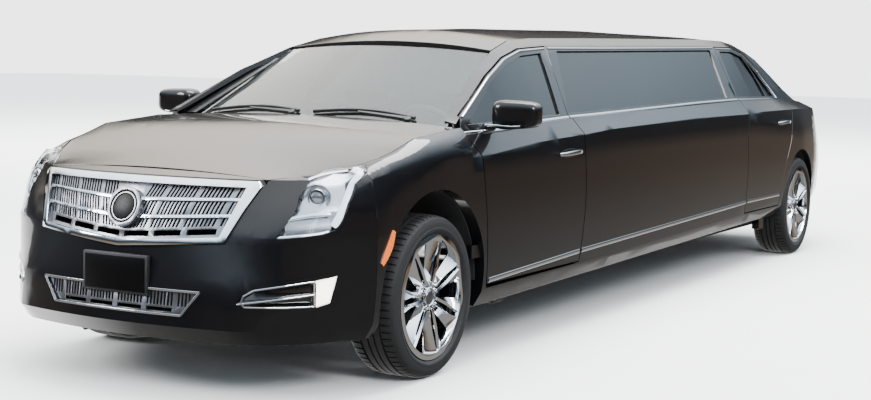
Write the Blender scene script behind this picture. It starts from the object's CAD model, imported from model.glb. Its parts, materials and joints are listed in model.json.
"""Dresses the stretch limousine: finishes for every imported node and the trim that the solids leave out.

Frame: metres, +X towards the nose, +Y to the left, +Z up, origin on the ground under the middle of the car.
Sizes are written in millimetres. A place is a station (forwards from the front axle), a distance from the
middle plane and a height; place() turns it into a point of the frame, and the mesh helpers take millimetres.
"""
import json
import logging
import math
from dataclasses import dataclass, field
from enum import Enum
from typing import Callable, Iterable, Sequence

import bmesh
import bpy
from mathutils import Matrix, Vector
from mathutils.bvhtree import BVHTree


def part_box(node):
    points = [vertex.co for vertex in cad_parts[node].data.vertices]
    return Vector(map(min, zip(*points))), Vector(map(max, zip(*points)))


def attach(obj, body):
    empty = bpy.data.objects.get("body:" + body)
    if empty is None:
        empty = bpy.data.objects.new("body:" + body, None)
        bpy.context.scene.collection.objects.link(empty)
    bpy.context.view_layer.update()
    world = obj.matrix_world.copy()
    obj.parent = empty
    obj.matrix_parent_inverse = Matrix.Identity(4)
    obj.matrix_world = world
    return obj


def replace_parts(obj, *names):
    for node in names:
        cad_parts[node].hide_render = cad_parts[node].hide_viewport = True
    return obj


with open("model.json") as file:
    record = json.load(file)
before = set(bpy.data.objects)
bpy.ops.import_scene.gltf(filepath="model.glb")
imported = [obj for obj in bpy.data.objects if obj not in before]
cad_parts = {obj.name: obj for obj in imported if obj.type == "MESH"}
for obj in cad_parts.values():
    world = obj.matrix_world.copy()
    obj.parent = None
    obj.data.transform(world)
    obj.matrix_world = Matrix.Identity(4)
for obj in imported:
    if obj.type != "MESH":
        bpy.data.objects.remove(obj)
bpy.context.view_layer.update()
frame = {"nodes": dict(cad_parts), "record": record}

log = logging.getLogger("limousine")

Pair = tuple[float, float]
Triple = tuple[float, float, float]
Hit = tuple[Vector, Vector]
Feed = dict[int | str, "float | tuple[float, ...] | bpy.types.NodeSocket"]

MM = 0.001
SIDES = {"left": 1.0, "right": -1.0}
ROOT = "body"
UP = Vector((0, 0, 1))
AHEAD = Vector((1, 0, 0))


# ---------------------------------------------------------------- places taken from the frame
def middle(node: str) -> Vector:
    """Centre of a CAD node's box."""
    low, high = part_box(node)
    return (Vector(low) + Vector(high)) / 2


FRONT_AXLE = middle("rim_front_left")


def at(station: float) -> float:
    """X in metres of a station in millimetres."""
    return FRONT_AXLE.x + station * MM


def place(station: float, y: float, z: float) -> Vector:
    """Point of the frame at a station, a distance from the middle and a height in millimetres."""
    return Vector((at(station), y * MM, z * MM))


def corners(first: Triple, second: Triple) -> tuple[Vector, Vector]:
    """Lowest and highest corner of the box between two places."""
    a, b = place(*first), place(*second)
    return Vector(map(min, a, b)), Vector(map(max, a, b))


def body_of(node: str) -> str:
    """Name of the CAD body that carries a node."""
    return next(body for body, nodes in frame["record"]["behaviour"]["bodies"].items() if node in nodes)


# ---------------------------------------------------------------- finishes
class Coat(Enum):
    """Whether a clear lacquer lies over a finish; the value is the coat's weight."""
    PLAIN = 0.0
    LACQUER = 1.0


def srgb(code: str) -> tuple[float, float, float, float]:
    """Turns an sRGB code into a linear colour.

    Args:
        code: a hash sign and six hexadecimal digits.

    Returns:
        Red, green, blue and an opacity of 1.
    """
    values = [int(code[i:i + 2], 16) / 255 for i in (1, 3, 5)]
    linear = [v / 12.92 if v <= 0.04045 else ((v + 0.055) / 1.055) ** 2.4 for v in values]
    return linear[0], linear[1], linear[2], 1.0


def feed(tree: bpy.types.NodeTree, node: bpy.types.Node, inputs: Feed) -> None:
    """Sets a node's inputs.

    Args:
        tree: the node's tree.
        node: the node.
        inputs: for each input's name or number, its value or the socket that is linked to it.
    """
    for key, value in inputs.items():
        if isinstance(value, bpy.types.NodeSocket):
            tree.links.new(value, node.inputs[key])
        else:
            node.inputs[key].default_value = value


def add(tree: bpy.types.NodeTree, kind: str, inputs: Feed, **settings: str | bool) -> bpy.types.Node:
    """Adds a shader node with its settings, values and links.

    Args:
        tree: the tree that takes it.
        kind: its type without the leading ShaderNode.
        inputs: for each input's name or number, its value or the socket that is linked to it.
        settings: its properties, such as the operation.

    Returns:
        The new node.
    """
    node = tree.nodes.new("ShaderNode" + kind)
    for name, value in settings.items():
        setattr(node, name, value)
    feed(tree, node, inputs)
    return node


@dataclass(frozen=True)
class Finish:
    """A material: what it is made of and how its surface varies.

    The pattern is noise whose grains have a size in millimetres. Most real grains are too fine to show from a
    few metres away, so they are drawn coarser, as wide as the unevenness that the eye does make out.
    """
    name: str
    colour: str
    metallic: float = 0.0
    roughness: float = 0.4
    coat: Coat = Coat.PLAIN
    transmission: float = 0.0
    ior: float = 1.5
    coat_ior: float = 1.5
    grain: float = 25.0
    relief: float = 0.0
    shift: float = 0.04
    glow: float = 0.0
    coat_roughness = 0.02
    noise_reach = 4.0
    roughness_span = (0.85, 1.2)
    bump_height = 1.0 * MM

    def build(self) -> bpy.types.Material:
        """Makes the material once, with noise on object coordinates for its tone, roughness and relief.

        Returns:
            The material.
        """
        material = bpy.data.materials.get(self.name)
        if material:
            return material
        material = bpy.data.materials.new(self.name)
        material.use_nodes = True
        tree = material.node_tree
        origin = add(tree, "TexCoord", {})
        noise = add(tree, "TexNoise", {"Vector": origin.outputs["Object"], "Scale": 1 / (self.grain * MM),
                                       "Detail": 4.0}).outputs["Fac"]
        tone = add(tree, "ValToRGB", {"Fac": noise})
        for stop, sign in zip(tone.color_ramp.elements, (-1, 1)):
            factor = 1 + sign * self.noise_reach * self.shift
            stop.color = (*[min(1.0, c * factor) for c in srgb(self.colour)[:3]], 1.0)
        least, most = [share * self.roughness for share in self.roughness_span]
        uneven = add(tree, "MapRange", {"Value": noise, "To Min": least, "To Max": most})
        inputs: Feed = {
            "Base Color": tone.outputs["Color"], "Metallic": self.metallic, "Roughness": uneven.outputs["Result"],
            "IOR": self.ior, "Coat Weight": self.coat.value, "Coat Roughness": self.coat_roughness,
            "Coat IOR": self.coat_ior, "Transmission Weight": self.transmission,
            "Emission Color": srgb(self.colour), "Emission Strength": self.glow,
        }
        if self.relief:
            bump = add(tree, "Bump", {"Height": noise, "Strength": self.relief, "Distance": self.bump_height})
            inputs["Normal"] = bump.outputs["Normal"]
        feed(tree, tree.nodes["Principled BSDF"], inputs)
        return material


# Sprayed and polished body lacquer: deep black with sharp mirror images and a faint metal flake.
PAINT = Finish("black lacquer", "#060608", roughness=0.3, coat=Coat.LACQUER, ior=1.2, coat_ior=1.36,
               grain=1.11111, shift=0.05)
# Moulded and lacquered ABS in the fog lamps' corners and under the handles: glossier than the paint.
GLOSS_BLACK = Finish("piano black", "#070708", roughness=0.08, coat=Coat.LACQUER, grain=16.66667)
# Enamelled sheet of the bare plates and the emblem's disc: flat black with a broad dull sheen.
PLATE = Finish("black enamel", "#040405", roughness=0.3, ior=1.2, grain=8.33333, relief=0.05)
# Polished chrome plate on strips, grille and wheels: a mirror with hardly any tone of its own.
CHROME = Finish("chrome plate", "#dfe2e6", metallic=1.0, roughness=0.06, grain=40, shift=0.01)
# Satin-anodised aluminium of slats, caps and reflector boxes: grey, with blurred highlights.
SATIN = Finish("satin aluminium", "#7d7f84", metallic=1.0, roughness=0.32, grain=11.11111, shift=0.02)
# Rolled steel of the running gear, blackened: dark with a dull gleam.
DARK_METAL = Finish("blackened steel", "#232427", metallic=0.9, roughness=0.42, grain=14.28571, shift=0.06)
# Sand-cast iron of the engine: rough, warm grey.
CAST = Finish("cast iron", "#5c5a57", metallic=0.7, roughness=0.6, grain=5.55556, relief=0.4, shift=0.08)
# Sprayed bitumen coat of floor and arches: matt and lumpy.
UNDERSEAL = Finish("underseal", "#121212", roughness=0.85, grain=8.33333, relief=0.6, shift=0.08)
# Moulded tyre rubber: nearly matt, slightly mottled.
RUBBER = Finish("tyre rubber", "#0c0c0d", roughness=0.7, grain=4.54545, relief=0.25, shift=0.06)
# Extruded rubber beside the panes: smoother than the tyres.
SEAL = Finish("rubber seal", "#0b0b0b", roughness=0.55, grain=6.25, relief=0.1)
# Injection-moulded plastic with a leather grain: soft broad highlights.
PLASTIC = Finish("grained black plastic", "#0e0e10", roughness=0.5, grain=1.42857, relief=0.35, shift=0.05)
# Slush-moulded skin of dashboard and floor: warm, almost matt.
CABIN = Finish("soft-touch plastic", "#191817", roughness=0.6, grain=2, relief=0.3, shift=0.05)
# Tanned, pigmented hide with a creased grain.
LEATHER = Finish("black leather", "#1d1a18", roughness=0.42, grain=3.125, relief=0.7, shift=0.08)
# Float glass tinted through its body: lets little of the cabin through.
TINT = Finish("tinted glass", "#2b3033", roughness=0.0, transmission=0.9, grain=333.33333, shift=0.01)
# Laminated windshield glass: clear with a touch of green.
CLEAR = Finish("windshield glass", "#c9d6d2", roughness=0.0, transmission=1.0, grain=333.33333, shift=0.005)
# Moulded polycarbonate cover: clear, with little of its own reflection, so that the bowl shows.
LENS = Finish("lamp cover", "#f4f7fa", roughness=0.005, transmission=1.0, ior=1.14, grain=200, shift=0.005)
# Moulded red acrylic of the tail lamps: deep red under a gloss.
RED_LENS = Finish("red lamp cover", "#7c0a0c", roughness=0.08, coat=Coat.LACQUER, grain=50, shift=0.05)
# Red light guide behind the acrylic: glows evenly.
TAIL_GLOW = Finish("red light line", "#e0181c", roughness=0.2, coat=Coat.LACQUER, shift=0.02, glow=0.8)
# Moulded amber acrylic of the side markers.
AMBER = Finish("amber lamp cover", "#c45a10", roughness=0.1, coat=Coat.LACQUER, grain=50, shift=0.05)
# Vacuum-metallised reflector: bright, a little hazy.
BOWL = Finish("lamp reflector", "#a9adb2", metallic=0.9, roughness=0.28, grain=33.33333, shift=0.02)
# Ground glass of the projector: dark, with one sharp highlight.
PROJECTOR = Finish("projector glass", "#33373c", roughness=0.02, coat=Coat.LACQUER, grain=125, shift=0.01)
# Milky acrylic light guide: white with a soft glow.
GUIDE = Finish("light guide", "#e4e9ee", roughness=0.22, coat=Coat.LACQUER, shift=0.01, glow=0.9)
# Lit diodes behind a diffuser: a warm white block.
LIT = Finish("white lamp element", "#fff6e6", roughness=0.25, grain=16.66667, shift=0.01, glow=3.0)
# Painted studio floor: pale and matt.
FLOOR = Finish("studio floor", "#f3f2ef", roughness=0.8, grain=166.66667, shift=0.005)

SLOT_FINISH: dict[str, Finish] = {
    "body_paint": PAINT, "chrome_trim": CHROME, "lamp_clear": LENS, "lamp_red": RED_LENS, "clear_glass": CLEAR,
    "tinted_glass": TINT, "underbody": UNDERSEAL, "cabin_plastic": CABIN, "leather": LEATHER,
    "cast_engine": CAST, "chassis_steel": DARK_METAL, "tyre_rubber": RUBBER, "wheel_chrome": CHROME,
    "black_plastic": PLASTIC,
}


def finish_nodes() -> None:
    """Gives each CAD node the procedural material of its slot."""
    slots = {part["node"]: part["material_slot"] for part in frame["record"]["subparts"]}
    for node, obj in frame["nodes"].items():
        obj.data.materials.clear()
        obj.data.materials.append(SLOT_FINISH[slots[node]].build())


# ---------------------------------------------------------------- mesh helpers
def bent(mesh: bmesh.types.BMesh, angle: float) -> list[bmesh.types.BMEdge]:
    """Edges between two faces that meet at more than an angle in degrees."""
    limit = math.radians(angle)
    return [e for e in mesh.edges if len(e.link_faces) == 2 and e.calc_face_angle(0.0) > limit]


def publish(mesh: bmesh.types.BMesh, name: str, finish: Finish, body: str, sharp: float = 32.0,
            recalculate: bool = True) -> bpy.types.Object:
    """Turns a bmesh into an object of the scene.

    Args:
        mesh: the piece in the frame's coordinates; it is freed here.
        name: the object's name.
        finish: its material.
        body: the CAD body it rides on.
        sharp: edges bent by more than this many degrees stay sharp.
        recalculate: False where the faces already look outwards.

    Returns:
        The new object.
    """
    if recalculate:
        bmesh.ops.recalc_face_normals(mesh, faces=mesh.faces)
    limit = math.radians(sharp)
    for face in mesh.faces:
        face.smooth = True
    for edge in mesh.edges:
        edge.smooth = len(edge.link_faces) == 2 and edge.calc_face_angle(0.0) < limit
    data = bpy.data.meshes.new(name)
    mesh.to_mesh(data)
    mesh.free()
    data.materials.append(finish.build())
    obj = bpy.data.objects.new(name, data)
    bpy.context.scene.collection.objects.link(obj)
    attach(obj, body)
    log.info("%s: %d faces on %s", name, len(data.polygons), body)
    return obj


def merge(target: bmesh.types.BMesh, piece: bmesh.types.BMesh) -> None:
    """Adds a bmesh to another and frees it.

    Args:
        target: the bmesh that grows.
        piece: the bmesh that is added and freed.
    """
    data = bpy.data.meshes.new("part")
    piece.to_mesh(data)
    piece.free()
    target.from_mesh(data)
    bpy.data.meshes.remove(data)


def bevel(mesh: bmesh.types.BMesh, width: float, angle: float = 35.0, segments: int = 2) -> list[bmesh.types.BMFace]:
    """Rounds every edge bent by more than an angle.

    Args:
        mesh: the bmesh.
        width: width of the rounding in millimetres.
        angle: the angle in degrees.
        segments: faces across the rounding.

    Returns:
        The new faces.
    """
    return bmesh.ops.bevel(mesh, geom=bent(mesh, angle), offset=width * MM, offset_type="OFFSET", affect="EDGES",
                           segments=segments, profile=0.5, material=-1, clamp_overlap=True)["faces"]


def bar(mesh: bmesh.types.BMesh, low: Vector, high: Vector, width: float = 0.0) -> None:
    """Adds a box.

    Args:
        mesh: the bmesh that takes it.
        low: its lowest corner.
        high: its highest corner.
        width: width of its rounded edges in millimetres, 0 for sharp ones.
    """
    piece = bmesh.new()
    made = bmesh.ops.create_cube(piece, size=1.0)["verts"]
    bmesh.ops.scale(piece, vec=high - low, verts=made)
    bmesh.ops.translate(piece, vec=(low + high) / 2, verts=made)
    if width:
        bevel(piece, width)
    merge(mesh, piece)


def disc(mesh: bmesh.types.BMesh, centre: Vector, axis: Vector, radius: float, depth: float, segments: int,
         width: float) -> None:
    """Adds a round or many-sided block.

    Args:
        mesh: the bmesh that takes it.
        centre: middle of its base.
        axis: the way it stands up.
        radius: its radius in millimetres.
        depth: its height in millimetres.
        segments: number of its sides.
        width: width of its rounded edges in millimetres.
    """
    piece = bmesh.new()
    unit = axis.normalized()
    turn = UP.rotation_difference(unit).to_matrix().to_4x4()
    bmesh.ops.create_cone(piece, cap_ends=True, segments=segments, radius1=radius * MM, radius2=radius * MM,
                          depth=depth * MM, matrix=Matrix.Translation(centre + unit * depth * MM / 2) @ turn)
    bevel(piece, width, 60.0)
    merge(mesh, piece)


def spun(mesh: bmesh.types.BMesh, profile: Sequence[Pair], centre: Vector, axis: Vector, steps: int,
         closed: bool = True) -> None:
    """Adds a turned piece.

    Args:
        mesh: the bmesh that takes it.
        profile: its (along the axis, radius) points in millimetres.
        centre: the axis's origin.
        axis: the way the axis points.
        steps: faces round the turn.
        closed: False for a profile that ends on the axis.
    """
    piece = bmesh.new()
    unit = axis.normalized()
    out = (UP - unit * unit.z).normalized()
    verts = [piece.verts.new(centre + (unit * a + out * r) * MM) for a, r in profile]
    edges = [piece.edges.new(pair) for pair in zip(verts, verts[1:])]
    if closed:
        edges.append(piece.edges.new((verts[-1], verts[0])))
    bmesh.ops.spin(piece, geom=verts + edges, cent=centre, axis=unit, dvec=(0, 0, 0), angle=math.tau,
                   steps=steps, use_merge=True, use_duplicate=False)
    merge(mesh, piece)


def heading(path: Sequence[Vector], i: int) -> Vector:
    """Direction of a path at one of its points."""
    return (path[min(i + 1, len(path) - 1)] - path[max(i - 1, 0)]).normalized()


def sweep(mesh: bmesh.types.BMesh, path: Sequence[Vector], section: Sequence[Pair],
          normals: Sequence[Vector] | Vector, scale: Callable[[float], float] = lambda share: 1.0) -> None:
    """Adds a bar along a path.

    Args:
        mesh: the bmesh that takes it.
        path: its line.
        section: (across, outwards) points of its section in millimetres.
        normals: the outward direction at each point of the path, or one for all.
        scale: size of the section at each share of the path.
    """
    piece = bmesh.new()
    outwards = [normals] * len(path) if isinstance(normals, Vector) else normals
    frames = []
    for i, point in enumerate(path):
        ahead = heading(path, i)
        out = (outwards[i] - ahead * outwards[i].dot(ahead)).normalized()
        size = scale(i / (len(path) - 1))
        basis = Matrix((ahead.cross(out) * size, out * size, ahead)).transposed().to_4x4()
        basis.translation = point
        frames.append(basis)
    verts = [piece.verts.new(frames[0] @ Vector((a * MM, b * MM, 0))) for a, b in section]
    ring = [piece.edges.new((a, b)) for a, b in zip(verts, verts[1:] + verts[:1])]
    bmesh.ops.contextual_create(piece, geom=ring)
    for before, after in zip(frames, frames[1:]):
        made = bmesh.ops.extrude_edge_only(piece, edges=ring)["geom"]
        verts = [item for item in made if isinstance(item, bmesh.types.BMVert)]
        ring = [item for item in made if isinstance(item, bmesh.types.BMEdge) and
                all(v in verts for v in item.verts)]
        bmesh.ops.transform(piece, matrix=after @ before.inverted(), verts=verts)
    bmesh.ops.contextual_create(piece, geom=ring)
    merge(mesh, piece)


def domed(width: float, height: float, steps: int = 8) -> list[Pair]:
    """Section of a half-round strip in millimetres; its base lies on the surface.

    Args:
        width: its width.
        height: its height.
        steps: faces over the round.

    Returns:
        Its (across, outwards) points.
    """
    half, edge = width / 2, 0.3
    turns = [math.pi * k / steps for k in range(steps + 1)]
    return [(-half, 0), (half, 0)] + [(half * math.cos(t), height * (edge + (1 - edge) * math.sin(t))) for t in turns]


def rounded(width: float, height: float, share: float = 0.3) -> list[Pair]:
    """Section with rounded outer corners in millimetres; its base lies on the surface.

    Args:
        width: its width.
        height: its height.
        share: size of the corners as a share of the smaller of the two.

    Returns:
        Its (across, outwards) points.
    """
    w, b = width / 2, min(width, height) * share
    c = b * 0.3
    return [(-w, 0), (w, 0), (w, height - b), (w - c, height - c), (w - b, height), (b - w, height),
            (c - w, height - c), (-w, height - b)]


def evened(path: Sequence[Vector], rounds: int = 3) -> list[Vector]:
    """Averages out the sideways steps between a path's inner points.

    Args:
        path: the path.
        rounds: how often.

    Returns:
        The new path.
    """
    result = [p.copy() for p in path]
    for _ in range(rounds):
        ys = [p.y for p in result]
        for i in range(1, len(ys) - 1):
            result[i].y = (ys[i - 1] + 2 * ys[i] + ys[i + 1]) / 4
    return result


def along(points: Sequence[Pair], step: float) -> list[Pair]:
    """Points of a polyline spaced by about a step, its corners kept.

    Args:
        points: the polyline's corners.
        step: the spacing wanted.

    Returns:
        The spaced points.
    """
    result = [points[0]]
    for (a, b), (c, d) in zip(points, points[1:]):
        count = max(1, round(math.hypot(c - a, d - b) / step))
        result += [(a + (c - a) * i / count, b + (d - b) * i / count) for i in range(1, count + 1)]
    return result


def around(reach: float) -> tuple[Pair, ...]:
    """Offsets of a point and of its four neighbours at a distance."""
    return (0, 0), (reach, 0), (-reach, 0), (0, reach), (0, -reach)


def swelling(least: float, most: float) -> Callable[[float], float]:
    """Scale for sweep that grows from one value at the ends to another in the middle."""
    return lambda share: least + (most - least) * math.sin(math.pi * share)


# ---------------------------------------------------------------- the car's surface
class Surface:
    """Outside of some CAD nodes, on which trim is laid by casting rays."""

    def __init__(self, nodes: Iterable[str]) -> None:
        """Gathers the nodes' faces.

        Args:
            nodes: names of the CAD nodes.
        """
        verts: list[Vector] = []
        faces: list[list[int]] = []
        for name in nodes:
            obj = frame["nodes"][name]
            start = len(verts)
            verts += [obj.matrix_world @ v.co for v in obj.data.vertices]
            faces += [[start + i for i in face.vertices] for face in obj.data.polygons]
        self.tree = BVHTree.FromPolygons(verts, faces)

    def cast(self, start: Vector, way: Vector) -> Hit:
        """Finds the first point that a ray meets.

        Args:
            start: where the ray starts.
            way: where it goes.

        Returns:
            The point, and the normal that faces the ray's start.
        """
        point, normal = self.tree.ray_cast(start, way.normalized())[:2]
        if point is None:
            raise ValueError(f"nothing at {tuple(start)} along {tuple(way)}")
        return point, normal if normal.dot(way) < 0 else -normal

    def nearest(self, point: Vector) -> Hit:
        """Point of the surface nearest to a point, with its normal."""
        return self.tree.find_nearest(point)[:2]

    def side(self, station: float, z: float, side: float) -> Hit:
        """Finds the outermost skin of the side, over the small joints between panels.

        Args:
            station: the place's station.
            z: its height in millimetres.
            side: 1 for the left, -1 for the right.

        Returns:
            The point and its normal.
        """
        hits = []
        for step in (-14, 0, 14):
            hit, normal = self.tree.ray_cast(place(station + step, side * 2000, z), Vector((0, -side, 0)))[:2]
            if hit and normal.y * side > 0.25:
                hits.append((hit, normal))
        hits = hits or [self.nearest(place(station, side * 900, z))]
        point, normal = max(hits, key=lambda hit: abs(hit[0].y))
        return Vector((at(station), point.y, z * MM)), normal

    def front(self, y: float, z: float) -> Hit:
        """Finds the skin of the nose.

        Args:
            y: distance from the middle in millimetres.
            z: height in millimetres.

        Returns:
            The point and its normal.
        """
        hit, normal = self.tree.ray_cast(place(1500, y, z), -AHEAD)[:2]
        if hit is None or normal.x < 0.1:
            return self.nearest(place(900, y, z))
        return hit, normal


def lay(mesh: bmesh.types.BMesh, hits: Sequence[Hit], section: Sequence[Pair], lift: float = 0.0,
        scale: Callable[[float], float] = lambda share: 1.0) -> None:
    """Adds a bar that lies on a surface.

    Args:
        mesh: the bmesh that takes it.
        hits: points of the surface with their normals.
        section: (across, outwards) points of its section in millimetres.
        lift: how far it stands off, in millimetres.
        scale: size of the section at each share of the path.
    """
    sweep(mesh, [p + n * lift * MM for p, n in hits], section, [n for _, n in hits], scale)


# ---------------------------------------------------------------- painted panels
PAINTED = ("front_fenders", "sills", "centre_panels", "quarter_panels", "cant_rails", "roof_panel", "rear_deck",
           "front_bumper", "rear_bumper", "hood", "trunk_lid", "door_front_left", "door_front_right",
           "door_rear_left", "door_rear_right")


def node_mesh(node: str) -> bmesh.types.BMesh:
    """Copies a CAD node's mesh, with its corners merged and its flat faces joined.

    Args:
        node: the CAD node.

    Returns:
        The copy in the frame's coordinates.
    """
    source = frame["nodes"][node]
    mesh = bmesh.new()
    mesh.from_mesh(source.data)
    bmesh.ops.transform(mesh, matrix=source.matrix_world, verts=mesh.verts)
    bmesh.ops.remove_doubles(mesh, verts=mesh.verts, dist=0.02 * MM)
    bmesh.ops.dissolve_limit(mesh, angle_limit=math.radians(0.4), verts=mesh.verts, edges=mesh.edges)
    return mesh


def dress(node: str, finish: Finish, width: float, angle: float,
          split: Callable[[Vector, Vector], Finish] | None = None) -> None:
    """Stands a copy of a node with rounded edges in the node's place.

    Args:
        node: the CAD node.
        finish: the copy's material.
        width: width of its rounded edges in millimetres.
        angle: edges bent by more than this many degrees are rounded.
        split: finish of a face by its middle and its normal, where a node has more than one.
    """
    mesh = node_mesh(node)
    bevel(mesh, width, angle)
    piece = publish(mesh, "dressed_" + node, finish, body_of(node))
    if split:
        slots: dict[str, int] = {finish.name: 0}
        for face in piece.data.polygons:
            wanted = split(face.center, face.normal)
            if wanted.name not in slots:
                slots[wanted.name] = len(slots)
                piece.data.materials.append(wanted.build())
            face.material_index = slots[wanted.name]
    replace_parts(piece, node)


@dataclass
class Skin:
    """Smooth normals for the panels, averaged over their own faces round each point."""
    surface: Surface
    reach: float = 150.0
    spread: float = 18.0
    lift: float = 60.0
    tolerance: float = 1.2
    steps: int = 4
    own_weight: float = 0.02
    limit: float = math.cos(math.radians(24.0))

    def normal(self, point: Vector, facing: Vector) -> Vector | None:
        """Averages the normals that rays find in a strip round a point.

        Args:
            point: a vertex of a panel.
            facing: the panel's own normal there.

        Returns:
            The averaged normal, or None where the point isn't on the outside.
        """
        cast = self.surface.tree.ray_cast
        above = facing * self.lift * MM
        hit = cast(point + above, -facing, (self.lift + 2) * MM)[0]
        if hit is None or (hit - point).length > self.tolerance * MM:
            return None
        first = AHEAD if abs(facing.x) < 0.85 else Vector((0, 1, 0))
        first = (first - facing * first.dot(facing)).normalized()
        second = facing.cross(first)
        total = facing * self.own_weight
        for i in range(-self.steps, self.steps + 1):
            for j in (-1, 0, 1):
                start = point + (first * self.reach * i / self.steps + second * self.spread * j) * MM + above
                found = cast(start, -facing, (2 * self.lift + 10) * MM)[1]
                if found is None:
                    continue
                found = found if found.dot(facing) > 0 else -found
                if found.dot(facing) > self.limit:
                    total += found * math.exp(-(i / 2.5) ** 2 - 0.5 * j * j)
        return total.normalized()


@dataclass
class Bodywork:
    """Painted panels: each CAD node's own mesh with rounded edges and normals averaged along the car."""
    nodes: Sequence[str] = PAINTED
    edge: float = 2.2
    pitch: float = 140.0

    def build(self) -> None:
        """Makes one piece for each node and shows it in the node's place."""
        skin = Skin(Surface(self.nodes))
        for node in self.nodes:
            self.panel(node, skin)

    def panel(self, node: str, skin: Skin) -> None:
        """Copies a node, rounds its edges, cuts its long faces and gives it the skin's normals.

        Args:
            node: the CAD node.
            skin: the source of the smooth normals.
        """
        mesh = node_mesh(node)
        rounding = set(bevel(mesh, self.edge))
        for face in mesh.faces:
            face.material_index = int(face in rounding)
        self.slice(mesh)
        mesh.normal_update()
        mesh.verts.index_update()
        targets: dict[int, Vector] = {}
        for vert in mesh.verts:
            flats = [face for face in vert.link_faces if face.material_index == 0]
            facing = sum((face.normal * face.calc_area() for face in flats), Vector())
            smooth = skin.normal(vert.co, facing.normalized()) if facing.length > 1e-9 else None
            if smooth:
                targets[vert.index] = smooth
        for face in mesh.faces:
            face.material_index = 0
        piece = publish(mesh, "painted_" + node, PAINT, body_of(node), recalculate=False)
        unset = Vector()
        piece.data.normals_split_custom_set([targets.get(loop.vertex_index, unset) for loop in piece.data.loops])
        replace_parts(piece, node)

    def slice(self, mesh: bmesh.types.BMesh) -> None:
        """Cuts a mesh by planes across all three axes, so that normals change evenly over long faces.

        Args:
            mesh: the bmesh that is cut.
        """
        low, high = [Vector([pick(v.co[i] for v in mesh.verts) for i in range(3)]) for pick in (min, max)]
        for axis, normal in enumerate(Matrix.Identity(3)):
            for k in range(1, int((high[axis] - low[axis]) / (self.pitch * MM))):
                bmesh.ops.bisect_plane(mesh, geom=mesh.verts[:] + mesh.edges[:] + mesh.faces[:], dist=1e-6,
                                       plane_co=low + normal * k * self.pitch * MM, plane_no=normal)


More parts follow.
